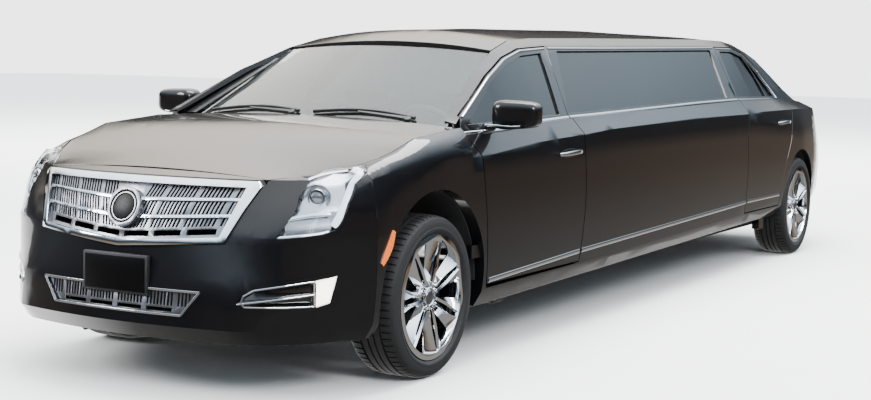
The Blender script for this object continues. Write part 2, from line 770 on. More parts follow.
# ---------------------------------------------------------------- wheels
@dataclass
class Wheel:
    """A tyre with ribs and shoulder blocks, and its bright wheel with cap and nuts."""
    end: str
    hand: str
    radius: float = 352.0
    # (across, radius) from the bead over the rim guard and the sidewall to the crown
    carcass: tuple[Pair, ...] = ((105.5, 254.5), (105.5, 272.2), (115.0, 279.0), (118.5, 285.0), (120.5, 288.0),
                                 (121.2, 296.0), (119.8, 298.5), (120.0, 312.0), (118.0, 325.0), (114.0, 335.0),
                                 (105.0, 341.5), (90.0, 343.5), (0.0, 344.0))
    # (middle, width) of the ribs, and how far they stand between their base and the tread
    ribs: tuple[Pair, ...] = ((0.0, 26.0), (33.5, 29.0), (-33.5, 29.0))
    rib_base: float = -10.0
    rib_top: float = -0.5
    # (across, over the tread) of a block that wraps down over the shoulder
    block: tuple[Pair, ...] = ((56.0, -10.0), (57.0, -1.2), (80.0, -2.2), (98.5, -6.0), (112.0, -15.0),
                               (118.5, -30.0), (116.0, -34.0), (104.0, -20.0))
    blocks: int = 68
    block_share: float = 0.80
    cap_face: float = 86.6
    # (outwards, radius) of the cap and of the ring round it
    dome: tuple[Pair, ...] = ((0.0, 0.0), (0.0, 30.0), (4.0, 32.5), (9.0, 31.5), (12.5, 27.0), (15.0, 15.0),
                              (15.5, 0.0))
    ring: tuple[Pair, ...] = ((0.0, 33.0), (8.0, 34.0), (11.0, 38.0), (8.0, 42.0), (0.0, 43.0))
    nuts: int = 5
    nut_circle: float = 56.0
    nut_radius: float = 9.5
    nut_height: float = 14.0

    def __post_init__(self) -> None:
        """Finds the wheel's body, middle and outer side."""
        self.tag = f"{self.end}_{self.hand}"
        self.body = "wheel_" + self.tag
        self.centre = middle("rim_" + self.tag)
        self.outwards = Vector((0, SIDES[self.hand], 0))

    def build(self) -> None:
        """Makes the tyre and the wheel."""
        self.tyre()
        dress("rim_" + self.tag, CHROME, 1.3, 30.0)
        self.cap()

    def tyre(self) -> None:
        """Turns the carcass and the ribs, and sets a row of blocks on each shoulder."""
        mesh = bmesh.new()
        mirrored = [(-across, radius) for across, radius in reversed(self.carcass[:-1])]
        spun(mesh, [*self.carcass, *mirrored], self.centre, self.outwards, 120)
        base, top = self.radius + self.rib_base, self.radius + self.rib_top
        for line, width in self.ribs:
            half = width / 2
            rib = [(line - half, base), (line - half + 1, top), (line + half - 1, top), (line + half, base)]
            spun(mesh, rib, self.centre, self.outwards, 144)
        for sign in (1, -1):
            self.shoulder(mesh, sign)
        piece = publish(mesh, "tyre_tread_" + self.tag, RUBBER, self.body, 28.0)
        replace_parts(piece, "tyre_" + self.tag)

    def shoulder(self, mesh: bmesh.types.BMesh, sign: int) -> None:
        """Adds one row of shoulder blocks with gaps between them.

        Args:
            mesh: the tyre's bmesh.
            sign: 1 for the shoulder at +Y, -1 for the other.
        """
        row = bmesh.new()
        step = math.tau / self.blocks
        half = self.radius * step * self.block_share / 2
        ends: list[bmesh.types.BMEdge] = []
        for shift in (-half, half):
            verts = [row.verts.new(self.centre + Vector((shift, sign * a, self.radius + b)) * MM)
                     for a, b in self.block]
            loop = [row.edges.new(pair) for pair in zip(verts, verts[1:] + verts[:1])]
            bmesh.ops.contextual_create(row, geom=loop)
            ends += loop
        bmesh.ops.bridge_loops(row, edges=ends)
        bmesh.ops.recalc_face_normals(row, faces=row.faces)
        bevel(row, 0.8, 50.0, 1)
        bmesh.ops.spin(row, geom=row.verts[:] + row.edges[:] + row.faces[:], cent=self.centre, axis=(0, 1, 0),
                       dvec=(0, 0, 0), angle=math.tau - step, steps=self.blocks - 1, use_duplicate=True)
        merge(mesh, row)

    def cap(self) -> None:
        """Makes the centre cap, the ring round it and the nuts."""
        face = self.centre + self.outwards * self.cap_face * MM
        cap, ring = bmesh.new(), bmesh.new()
        spun(cap, self.dome, face, self.outwards, 48, False)
        spun(ring, self.ring, face, self.outwards, 64)
        for k in range(self.nuts):
            turn = math.tau * k / self.nuts
            spot = face + Vector((math.sin(turn), 0, math.cos(turn))) * self.nut_circle * MM
            disc(ring, spot, self.outwards, self.nut_radius, self.nut_height, 6, 1.5)
        publish(cap, "cap_" + self.tag, SATIN, self.body, 50.0)
        publish(ring, "cap_ring_" + self.tag, CHROME, self.body, 40.0)


# ---------------------------------------------------------------- grille
@dataclass
class Grille:
    """Bright frame and bars round satin slats, the dark core behind, and the plain emblem."""
    # outline of the slats: top, half-width there, how much it narrows per height, and (height, slope) of the foot
    top: float = 848.0
    side: float = 510.0
    lean: float = 0.32
    foot: Pair = (622.0, 0.0737)
    # (height, slope) of the two cross bars and half their height
    bars: tuple[Pair, ...] = ((783.0, 0.035), (711.0, 0.055))
    half_bar: float = 6.0
    lower_top: float = 520.0
    # opposite corners of the radiator and of the cooler under it
    cores: tuple[tuple[Triple, Triple], ...] = (((655, -500, 560), (690, 500, 800)),
                                                ((700, -380, 330), (730, 380, 460)))
    fins: int = 40
    fin_pitch: float = 5.7
    fin_height: float = 2.2
    emblem_place: Triple = (924, 0, 747)
    emblem_axis: Vector = field(default_factory=lambda: Vector((0.94, 0, 0.34)).normalized())
    emblem_radius: float = 67.0
    # (outwards, radius) of the emblem's rim
    emblem_rim: tuple[Pair, ...] = ((3.0, 54.5), (7.5, 56.0), (7.5, 59.5), (3.0, 61.0))
    # (distance from the middle, height) of the lower grille's corners on the left
    lower: tuple[Pair, ...] = ((400.0, 440.0), (357.0, 388.0), (325.0, 345.0))

    def finish(self, centre: Vector, normal: Vector) -> Finish:
        """Chooses chrome for the frame and the bars, satin for the slats.

        Args:
            centre: middle of a face.
            normal: its normal.

        Returns:
            The face's finish.
        """
        y, z = abs(centre.y) / MM, centre.z / MM
        slats = self.foot[0] + self.foot[1] * y < z < self.top and y < self.side - self.lean * (self.top - z)
        on_bar = any(abs(z - height - slope * y) < self.half_bar for height, slope in self.bars)
        return SATIN if z < self.lower_top or (slats and not on_bar) else CHROME

    def build(self, surface: Surface) -> None:
        """Dresses the grille's node and adds what lies behind and on it.

        Args:
            surface: the car's outside.
        """
        dress("grilles", CHROME, 1.6, 40.0, self.finish)
        core = bmesh.new()
        for first, second in self.cores:
            bar(core, *corners(first, second), 3)
        for k in range(self.fins):
            z = 570 + k * self.fin_pitch
            bar(core, *corners((688, -490, z), (694, 490, z + self.fin_height)))
        publish(core, "radiator", DARK_METAL, ROOT)
        self.emblem()
        self.lower_frame(surface)

    def emblem(self) -> None:
        """Makes a plain dark disc with a low bright rim inside the grille's ring."""
        axis = self.emblem_axis
        base = place(*self.emblem_place) + axis * 8 * MM
        plate, rim = bmesh.new(), bmesh.new()
        disc(plate, base - axis * MM, axis, self.emblem_radius, 5, 72, 1.5)
        publish(plate, "emblem_disc", PLATE, ROOT)
        spun(rim, self.emblem_rim, base, axis, 96)
        publish(rim, "emblem_ring", SATIN, ROOT)

    def lower_frame(self, surface: Surface) -> None:
        """Lays a bright line round the lower grille, over the foremost skin near each point.

        Args:
            surface: the car's outside.
        """
        mesh = bmesh.new()
        loop = [*self.lower, *[(-y, z) for y, z in reversed(self.lower)]]
        for first, second in zip(loop, loop[1:] + loop[:1]):
            path = []
            for y, z in along([first, second], 60.0):
                near = [surface.front(y + dy, z + dz)[0].x for dy, dz in around(12)]
                path.append(Vector((max(near) - 2 * MM, y * MM, z * MM)))
            sweep(mesh, path, rounded(9, 6), AHEAD)
        publish(mesh, "lower_grille_frame", CHROME, ROOT)


# ---------------------------------------------------------------- lamps
@dataclass
class Headlamp:
    """Headlamps: the node's outer faces as clear covers over bright bowls with their lamp units."""
    depth: float = 26.0
    cover: float = 2.5
    # middle of the lamp, and the way the cover looks on the left side, for its units and for its rim
    heart: Triple = (630, 765, 790)
    facing: Triple = (0.68, 0.58, 0.3)
    rim_facing: Triple = (0.66, 0.62, 0.42)
    projector: Triple = (661, 748, 818)
    projector_axis: Triple = (0.90, 0.42, 0.05)
    # (outwards, radius) of the projector's bright ring, its housing and its glass
    ring: tuple[Pair, ...] = ((0.0, 30.0), (14.0, 31.0), (18.0, 34.0), (14.0, 37.0), (0.0, 38.0))
    housing: tuple[Pair, ...] = ((-12.0, 38.0), (4.0, 40.0), (10.0, 52.0), (6.0, 56.0), (-12.0, 54.0))
    glass: tuple[Pair, ...] = ((0.0, 30.0), (8.0, 28.5), (15.0, 23.5), (20.0, 15.0), (22.5, 0.0))
    # places of the bright bar and of the reflector box under the cover
    bright_bar: tuple[Triple, ...] = ((772, 678, 738), (712, 745, 746), (655, 806, 753))
    box: tuple[Triple, ...] = ((786, 682, 702), (722, 748, 706), (664, 812, 716))
    # the rim's corners: inner foot, outer foot and rear tip
    tips: tuple[Triple, ...] = ((806, 662, 664), (655, 826, 692), (372, 832, 962))
    edge_width: float = 9.0
    guide_width: float = 30.0

    def build(self) -> None:
        """Makes cover, bowl and units for both sides."""
        surface = Surface(["headlamps"])
        bowl = node_mesh("headlamps")
        bmesh.ops.triangulate(bowl, faces=bowl.faces)
        bowl.normal_update()
        bowl.faces.index_update()
        outer = {face for face in bowl.faces if self.outside(surface, face)}
        kept = {face.index for face in outer}
        cover = bowl.copy()
        bmesh.ops.delete(cover, geom=[face for face in cover.faces if face.index not in kept], context="FACES")
        bmesh.ops.solidify(cover, geom=cover.faces[:], thickness=self.cover * MM)
        clear = publish(cover, "headlamp_covers", LENS, ROOT, 45.0)
        border = [(e.verts[0].co.copy(), e.verts[1].co.copy()) for face in bowl.faces if face in outer
                  for e in face.edges if sum(other in outer for other in e.link_faces) == 1]
        for vert in {v for face in outer for v in face.verts}:
            outwards = sum((face.normal for face in vert.link_faces if face in outer), Vector()).normalized()
            vert.co -= outwards * self.depth * MM
        bevel(bowl, 3, 40.0)
        shell = publish(bowl, "headlamp_bowls", BOWL, ROOT, 40.0)
        for piece in (clear, shell):
            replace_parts(piece, "headlamps")
        for name, side in SIDES.items():
            self.units(name, side, surface, self.rim([pair for pair in border if pair[0].y * side > 0]))

    def outside(self, surface: Surface, face: bmesh.types.BMFace) -> bool:
        """Tells whether a face looks out of the car.

        Args:
            surface: the headlamps' surface.
            face: the face.

        Returns:
            True for a face of the outer skin.
        """
        centre, normal = face.calc_center_median(), face.normal
        if normal.x < 0.12 and abs(normal.y) < 0.5 and normal.z < 0.5:
            return False
        if normal.dot(Vector((centre.x - at(300), 0.9 * centre.y, centre.z - 0.60))) <= 0:
            return False
        hit = surface.tree.ray_cast(centre + normal * 0.2, -normal, 0.3)[0]
        return hit is not None and (hit - centre).length < 2 * MM

    @staticmethod
    def rim(lines: Sequence[tuple[Vector, Vector]]) -> list[Vector]:
        """Joins border edges end to end.

        Args:
            lines: the ends of each border edge.

        Returns:
            The longest closed line that they make.
        """
        def key(point: Vector) -> tuple[int, ...]:
            """Place of a point on a grid of a fiftieth of a millimetre."""
            return tuple(round(c * 5e4) for c in point)

        ways: dict[tuple[int, ...], list[Vector]] = {}
        for a, b in lines:
            ways.setdefault(key(a), []).append(b)
            ways.setdefault(key(b), []).append(a)
        longest: list[Vector] = []
        for start in ways:
            path, here = [], start
            while ways[here]:
                there = ways[here].pop()
                ways[key(there)] = [point for point in ways[key(there)] if key(point) != here]
                path.append(there)
                here = key(there)
            longest = max(longest, path, key=len)
        return longest

    def under(self, surface: Surface, spot: Triple, side: float, deep: float) -> Vector:
        """Finds a point under the cover.

        Args:
            surface: the headlamps' surface.
            spot: the place on the left side.
            side: 1 for the left, -1 for the right.
            deep: how far it lies under the cover, in millimetres.

        Returns:
            The point.
        """
        station, y, z = spot
        return surface.nearest(place(station, side * y, z))[0] - self.turned(self.facing, side) * deep * MM

    @staticmethod
    def turned(way: Triple, side: float) -> Vector:
        """Unit vector of a direction given for the left side."""
        return Vector((way[0], side * way[1], way[2])).normalized()

    def units(self, name: str, side: float, surface: Surface, rim: Sequence[Vector]) -> None:
        """Makes projector, reflector box, bright bars and the light guide along the rear edge.

        Args:
            name: left or right.
            side: 1 for the left, -1 for the right.
            surface: the headlamps' surface.
            rim: the cover's closed rim.
        """
        chrome, guide, glass, box = [bmesh.new() for _ in range(4)]
        centre = self.under(surface, self.projector, side, 26)
        axis = self.turned(self.projector_axis, side)
        spun(chrome, self.ring, centre, axis, 64)
        spun(box, self.housing, centre, axis, 64)
        spun(glass, self.glass, centre, axis, 64, False)
        facing = self.turned(self.facing, side)
        for mesh, places, width, height, deep in ((chrome, self.bright_bar, 15, 9, 13), (box, self.box, 52, 4, 17)):
            sweep(mesh, [self.under(surface, spot, side, deep) for spot in places], rounded(width, height), facing)
        tips = [place(station, side * y, z) for station, y, z in self.tips]
        marks = [min(range(len(rim)), key=lambda i: (rim[i] - tip).length) for tip in tips]
        for start, end, mesh, width in ((0, 1, chrome, self.edge_width), (1, 2, guide, self.guide_width),
                                        (0, 2, chrome, self.edge_width)):
            self.edge(mesh, self.part_of(rim, marks[start], marks[end], marks[3 - start - end]), side, width)
        publish(chrome, "headlamp_bars_" + name, CHROME, ROOT, 40.0)
        publish(guide, "headlamp_guide_" + name, GUIDE, ROOT, 40.0)
        publish(box, "headlamp_reflector_" + name, SATIN, ROOT, 40.0)
        publish(glass, "headlamp_projector_" + name, PROJECTOR, ROOT, 60.0)

    @staticmethod
    def part_of(rim: Sequence[Vector], start: int, end: int, avoid: int, steps: int = 6) -> list[Vector]:
        """Takes the part of the closed rim between two marks that leaves out a third mark.

        Args:
            rim: the rim's points.
            start: number of the first mark.
            end: number of the last mark.
            avoid: number of the mark on the other way round.
            steps: number of the stretches that the part is cut into.

        Returns:
            Points spaced evenly, a little short of both marks.
        """
        count = len(rim)
        ways = [[rim[(start + step * k) % count] for k in range((end - start) * step % count + 1)]
                for step in (1, -1)]
        points = ways[0] if (avoid - start) % count > (end - start) % count else ways[1]
        lengths = [0.0]
        for a, b in zip(points, points[1:]):
            lengths.append(lengths[-1] + (b - a).length)
        spaced = []
        for k in range(steps + 1):
            want = lengths[-1] * (0.02 + 0.86 * k / steps)
            j = next(i for i in range(len(points) - 1) if lengths[i + 1] >= want)
            spaced.append(points[j].lerp(points[j + 1], (want - lengths[j]) / (lengths[j + 1] - lengths[j])))
        return spaced

    def edge(self, mesh: bmesh.types.BMesh, line: Sequence[Vector], side: float, width: float) -> None:
        """Adds a bar just inside the cover's rim, its corners cut round.

        Args:
            mesh: the bmesh that takes it.
            line: part of the rim.
            side: 1 for the left, -1 for the right.
            width: the bar's width in millimetres.
        """
        station, y, z = self.heart
        centre, out = place(station, side * y, z), self.turned(self.rim_facing, side)
        path = []
        for i, point in enumerate(line):
            inwards = heading(line, i).cross(out).normalized()
            if inwards.dot(centre - point) < 0:
                inwards = -inwards
            path.append(point + (inwards * (width / 2 + 3) - out * 12) * MM)
        for _ in range(3):
            cut = [path[0]]
            for a, b in zip(path, path[1:]):
                cut += [a.lerp(b, 0.25), a.lerp(b, 0.75)]
            path = cut + [path[-1]]
        sweep(mesh, path, rounded(width, 6), out)


@dataclass
class FogLamp:
    """Bright frame, spear bar and lit block on the bumper's corner."""
    # (station, distance from the middle) of the corner, and the way it looks on the left
    corner: Pair = (800.0, 695.0)
    normal: Pair = (0.81, 0.586)
    # (distance along the corner, height) round the frame and along the spear
    loop: tuple[Pair, ...] = ((-158, 394), (-170, 412), (-162, 436), (-122, 458), (0, 475), (112, 489), (114, 390),
                              (0, 389))
    spear: tuple[Pair, ...] = ((-186, 405), (-60, 418), (114, 437))
    lit_from: float = 121.0

    def build(self, surface: Surface) -> None:
        """Dresses the node and lays the frame on it.

        Args:
            surface: the car's outside.
        """
        dress("fog_lamps", GLOSS_BLACK, 1.5, 40.0, self.finish)
        for name, side in SIDES.items():
            mesh = bmesh.new()
            for first, second in zip(self.loop, self.loop[1:] + self.loop[:1]):
                self.rod(mesh, surface, [first, second], side)
            self.rod(mesh, surface, self.spear, side)
            publish(mesh, "fog_lamp_frame_" + name, CHROME, ROOT)

    def way(self, side: float) -> Vector:
        """Direction in which the corner looks."""
        return Vector((self.normal[0], side * self.normal[1], 0))

    def spot(self, t: float, z: float, side: float) -> Vector:
        """Point on the corner's upright plane at a distance along it and a height."""
        return place(self.corner[0] - self.normal[1] * t, side * (self.corner[1] + self.normal[0] * t), z)

    def rod(self, mesh: bmesh.types.BMesh, surface: Surface, line: Sequence[Pair], side: float) -> None:
        """Adds a bright rod along a line on the corner, over the outermost skin near each point.

        Args:
            mesh: the bmesh that takes it.
            surface: the car's outside.
            line: (distance along the corner, height) points.
            side: 1 for the left, -1 for the right.
        """
        way = self.way(side)
        path = []
        for t, z in along(line, 30.0):
            near = [surface.cast(self.spot(t + dt, z + dz, side) + way * 0.5, -way)[0] for dt, dz in around(14)]
            base = self.spot(t, z, side)
            path.append(base + way * (max(hit.dot(way) for hit in near) - base.dot(way) - MM))
        sweep(mesh, path, rounded(6.5, 6), way)

    def finish(self, centre: Vector, normal: Vector) -> Finish:
        """Chooses the lit finish for the block at the outer end.

        Args:
            centre: middle of a face.
            normal: its normal.

        Returns:
            The face's finish.
        """
        outwards = (abs(centre.y) / MM - self.corner[1]) * self.normal[0]
        forwards = ((centre.x - FRONT_AXLE.x) / MM - self.corner[0]) * self.normal[1]
        return LIT if outwards - forwards > self.lit_from and normal.x > 0.2 else GLOSS_BLACK


# ---------------------------------------------------------------- trim on the sides
@dataclass(frozen=True)
class Strip:
    """A bright strip laid along the side: the body it rides on, (station, height) points and its section."""
    name: str
    body: str
    points: tuple[Pair, ...]
    width: float
    height: float = 6.0
    spacing: float = 45.0

    def build(self, surface: Surface, hand: str) -> None:
        """Lays the strip on one side of the car.

        Args:
            surface: the car's outside.
            hand: left or right.
        """
        hits = [surface.side(station, z, SIDES[hand]) for station, z in along(self.points, self.spacing)]
        lean = sum((normal for _, normal in hits), Vector()).normalized()
        mesh = bmesh.new()
        sweep(mesh, [p - lean * MM for p in evened([p for p, _ in hits])], domed(self.width, self.height), lean)
        publish(mesh, f"{self.name}_{hand}", CHROME, self.body.format(hand=hand))


FRONT_LEAF, REAR_LEAF = "door_front_{hand}_leaf", "door_rear_{hand}_leaf"
STRIPS = (
    Strip("belt_front_door", FRONT_LEAF, ((-362, 1034), (-760, 1044), (-1190, 1069), (-1505, 1079)), 20),
    Strip("belt_centre", ROOT, ((-1521, 1080), (-1873, 1087), (-3469, 1123), (-4147, 1133), (-4196, 1133)), 20),
    Strip("belt_rear_door", REAR_LEAF, ((-4214, 1133), (-5120, 1129), (-5190, 1126)), 20),
    Strip("window_top_front", FRONT_LEAF, ((-412, 1106), (-800, 1281), (-1061, 1365), (-1302, 1411),
                                           (-1620, 1428)), 13),
    Strip("window_top_centre", ROOT, ((-1662, 1430), (-2391, 1440), (-4230, 1472)), 13),
    Strip("window_top_rear", REAR_LEAF, ((-4285, 1468), (-4601, 1470), (-4840, 1434), (-4952, 1384),
                                         (-5058, 1322), (-5136, 1218), (-5188, 1134)), 13),
    Strip("lower_front", FRONT_LEAF, ((-490, 368), (-1480, 404)), 22, 7),
    Strip("lower_centre", ROOT, ((-1508, 405), (-4136, 464)), 22, 7),
    Strip("lower_rear", REAR_LEAF, ((-4166, 466), (-4732, 467), (-4880, 467)), 22, 7),
)


@dataclass(frozen=True)
class Handle:
    """A pull handle on a door, with its feet's (station, height) and its height over a shallow cup."""
    door: str
    front: Pair
    back: Pair
    lift: float = 30.0
    fullness: float = 0.35

    def build(self, surface: Surface, hand: str) -> None:
        """Makes the grip on two feet over the cup.

        Args:
            surface: the car's outside.
            hand: left or right.
        """
        hits = [surface.side(station, z, SIDES[hand]) for station, z in along([self.front, self.back], 30.0)]
        body = f"door_{self.door}_{hand}_leaf"
        last = len(hits) - 1
        rise = [self.lift * math.sin(math.pi * i / last) ** self.fullness + 1 for i in range(last + 1)]
        grip, cup = bmesh.new(), bmesh.new()
        sweep(grip, [p + n * up * MM for (p, n), up in zip(hits, rise)], rounded(24, 12, 0.42),
              [n for _, n in hits], swelling(0.72, 1.0))
        publish(grip, f"handle_{self.door}_{hand}", CHROME, body, 40.0)
        lay(cup, hits[1:-1], rounded(44, 1.5), 0.0, swelling(0.6, 1.0))
        publish(cup, f"handle_cup_{self.door}_{hand}", GLOSS_BLACK, body, 40.0)


HANDLES = (Handle("front", (-1215, 906), (-1455, 916)), Handle("rear", (-4800, 966), (-5050, 972)))


@dataclass
class Trim:
    """Strips, handles and side markers on both sides."""
    marker_line: tuple[Pair, ...] = ((360, 668), (392, 610), (446, 540))
    marker_width: float = 30.0
    marker_height: float = 6.0

    def build(self, surface: Surface) -> None:
        """Lays everything on the sides.

        Args:
            surface: the car's outside.
        """
        for hand in SIDES:
            for piece in (*STRIPS, *HANDLES):
                piece.build(surface, hand)
            self.marker(surface, hand)

    def marker(self, surface: Surface, hand: str) -> None:
        """Makes the amber marker just before the front wheel.

        Args:
            surface: the car's outside.
            hand: left or right.
        """
        mesh = bmesh.new()
        hits = [surface.side(station, z, SIDES[hand]) for station, z in along(self.marker_line, 16.0)]
        lay(mesh, hits, rounded(self.marker_width, self.marker_height), 0.0, swelling(0.7, 1.2))
        publish(mesh, "side_marker_" + hand, AMBER, ROOT, 40.0)


def slab(mesh: bmesh.types.BMesh, x: float, reach: Pair, outline: Triple, width: float) -> None:
    """Adds an upright plate across the middle of the car.

    Args:
        mesh: the bmesh that takes it.
        x: X in metres of the skin it stands on.
        reach: how far its rear and its front lie ahead of that skin, in millimetres.
        outline: its half-width, foot and top in millimetres.
        width: width of its rounded edges in millimetres.
    """
    half, foot, top = outline
    low, high = Vector((x + reach[0] * MM, -half * MM, foot * MM)), Vector((x + reach[1] * MM, half * MM, top * MM))
    bar(mesh, low, high, width)


@dataclass
class Front:
    """Number plate blank, wipers and the tray under the windshield."""
    # half-width, foot and top
    holder: Triple = (166, 410, 568)
    blank: Triple = (154, 420, 558)
    plate_height: float = 420.0
    # distance from the middle of each wiper's pivot and of its blade's far end
    wiper_lines: tuple[Pair, ...] = ((560, 20), (-60, -600))
    # station of the glass's foot at the middle, how far it falls back at half_foot, and the glass's run
    foot: float = -345.0
    foot_bow: float = 50.0
    half_foot: float = 735.0
    run: float = 640.0
    tray_half: float = 800.0
    tray_station: float = -319.0
    tray_bow: float = 22.0
    tray_height: float = 1072.0
    tray_drop: float = 28.0
    # (across, outwards) section of the tray
    tray_section: tuple[Pair, ...] = ((-17, -10), (22, -10), (22, 0), (4, 4), (-17, 2))

    def build(self, surface: Surface) -> None:
        """Makes the pieces of the front.

        Args:
            surface: the car's outside.
        """
        self.plate(surface)
        self.wipers()
        self.tray()

    def plate(self, surface: Surface) -> None:
        """Makes a plain black plate in a slim holder.

        Args:
            surface: the car's outside.
        """
        holder, blank = bmesh.new(), bmesh.new()
        x = surface.front(0, self.plate_height)[0].x
        slab(holder, x, (-12, 10), self.holder, 4)
        slab(blank, x, (8, 13), self.blank, 2)
        publish(holder, "plate_holder", PLASTIC, ROOT)
        publish(blank, "plate_blank", PLATE, ROOT)

    def over(self, glass: Surface, y: float, share: float) -> Hit:
        """Finds a point of the windshield.

        Args:
            glass: the windshield's surface.
            y: distance from the middle in millimetres.
            share: share of its run from the foot.

        Returns:
            The point and its normal.
        """
        station = self.foot - self.foot_bow * (y / self.half_foot) ** 2 - self.run * share
        return glass.cast(place(station, y, 2000), -UP)

    def wipers(self) -> None:
        """Makes two arms with blades at the foot of the windshield."""
        glass = Surface(["windshield"])
        mesh = bmesh.new()
        for pivot, far in self.wiper_lines:
            reach = far - pivot
            blade = [self.over(glass, pivot + reach * i / 14, 0.055 + 0.05 * math.sin(math.pi * i / 14))
                     for i in range(15)]
            arm = [self.over(glass, pivot + reach * (0.06 + 0.48 * i / 6), 0.012 + 0.045 * i / 6) for i in range(7)]
            lay(mesh, blade, rounded(12, 15), 4)
            lay(mesh, arm, rounded(16, 8), 20, lambda share: 1.3 - 0.6 * share)
            base, normal = self.over(glass, pivot - 20, 0.008)
            disc(mesh, base - normal * 10 * MM, normal, 16, 40, 24, 3)
        publish(mesh, "wipers", PLASTIC, ROOT, 40.0)

    def tray(self) -> None:
        """Makes the plastic tray between hood and windshield."""
        mesh = bmesh.new()
        path = []
        for i in range(25):
            y = self.tray_half * (i / 12 - 1)
            path.append(place(self.tray_station - self.tray_bow * (y / self.half_foot) ** 2, y,
                              self.tray_height - self.tray_drop * (y / self.tray_half) ** 2))
        sweep(mesh, path, self.tray_section, Vector((0.25, 0, 1)).normalized())
        publish(mesh, "wiper_tray", PLASTIC, ROOT, 40.0)


@dataclass(frozen=True)
class Seal:
    """Rubber strip that closes the joint beside a pane, from (x, y, z) edges in the frame's millimetres."""
    name: str
    pane: tuple[Triple, ...]
    pillar: tuple[Triple, ...]
    thickness: float = 4.0

    def build(self) -> None:
        """Bridges the two edges on both sides and gives the strip its thickness."""
        mesh = bmesh.new()
        for side in SIDES.values():
            strip = bmesh.new()
            for line in (self.pane, self.pillar):
                verts = [strip.verts.new(Vector((x, side * y, z)) * MM) for x, y, z in line]
                for pair in zip(verts, verts[1:]):
                    strip.edges.new(pair)
            bmesh.ops.bridge_loops(strip, edges=strip.edges[:])
            bmesh.ops.solidify(strip, geom=strip.faces[:], thickness=self.thickness * MM)
            merge(mesh, strip)
        publish(mesh, self.name, SEAL, ROOT, 40.0)


SEALS = (
    Seal("rear_window_seal",
         ((-2990, 614, 1080), (-2948, 611, 1100), (-2855, 599, 1150), (-2762, 587, 1200), (-2670, 575, 1250),
          (-2577, 563, 1300), (-2484, 551, 1350), (-2390, 539, 1402)),
         ((-2965, 724, 1080), (-2915, 712, 1100), (-2766, 688, 1150), (-2679, 664, 1200), (-2593, 640, 1250),
          (-2500, 616, 1300), (-2417, 596, 1350), (-2312, 572, 1402))),
    Seal("windshield_seal",
         ((2400, 720, 1075), (2349, 708, 1100), (2250, 688, 1150), (2153, 664, 1200), (2054, 644, 1250),
          (1957, 620, 1300), (1858, 600, 1350)),
         ((2430, 760, 1075), (2381, 750, 1100), (2282, 728, 1150), (2185, 704, 1200), (2086, 680, 1250),
          (1989, 656, 1300), (1880, 628, 1350))),
)


@dataclass
class Mirror:
    """Door mirror: a smooth painted shell on a foot, with its glass on the rear and a bright ledge."""
    hand: str
    centre: Triple = (-616, 977, 1116)
    half: Triple = (68, 114, 72)
    power: float = 4.2
    flat_rear: float = 0.62
    narrowing: float = 0.10
    belly: float = 0.08
    glass_size: Triple = (0.06, 0.88, 0.84)
    glass_shift: float = 0.78
    # (distance from the middle, height) along the foot and along the ledge
    foot: tuple[Pair, ...] = ((826, 1046), (850, 1047), (880, 1052), (915, 1062))
    ledge: tuple[Pair, ...] = ((838, 1066), (900, 1068), (970, 1064), (1020, 1068))
    ledge_station: float = -560.0

    def build(self) -> None:
        """Makes shell, foot, glass and ledge."""
        side = SIDES[self.hand]
        body = body_of("mirror_" + self.hand)
        shell, glass, ledge = [bmesh.new() for _ in range(3)]
        self.pod(shell, side)
        sweep(shell, [place(self.centre[0], side * y, z) for y, z in self.foot], rounded(62, 26, 0.4), UP,
              lambda share: 1.15 - 0.3 * share)
        piece = publish(shell, "mirror_shell_" + self.hand, PAINT, body, 50.0)
        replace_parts(piece, "mirror_" + self.hand)
        self.pod(glass, side, self.glass_size, -self.glass_shift)
        publish(glass, "mirror_glass_" + self.hand, CHROME, body, 50.0)
        sweep(ledge, [place(self.ledge_station, side * y, z) for y, z in self.ledge], rounded(9, 5), AHEAD)
        publish(ledge, "mirror_ledge_" + self.hand, CHROME, body, 50.0)

    def pod(self, mesh: bmesh.types.BMesh, side: float, size: Triple = (1.0, 1.0, 1.0), shift: float = 0.0) -> None:
        """Adds a rounded closed form that narrows outwards and has a flat rear.

        Args:
            mesh: the bmesh that takes it.
            side: 1 for the left, -1 for the right.
            size: its size as a share of the shell's, along, across and up.
            shift: how far it lies ahead, as a share of the shell's half-length.
        """
        piece = bmesh.new()
        bmesh.ops.create_cube(piece, size=2.0)
        bmesh.ops.subdivide_edges(piece, edges=piece.edges, cuts=13, use_grid_fill=True)
        for vert in piece.verts:
            p = vert.co / sum(abs(c) ** self.power for c in vert.co) ** (1 / self.power)
            outwards = p.y + 1
            u = max(p.x, -self.flat_rear) * (1 - self.narrowing * outwards) * size[0] + shift
            w = p.z * (1 - self.narrowing * outwards / 2) * size[2] + self.belly * outwards * max(0.0, -p.z)
            station, y, z = [c + h * q for c, h, q in zip(self.centre, self.half, (u, p.y * size[1], w))]
            vert.co = place(station, side * y, z)
        merge(mesh, piece)


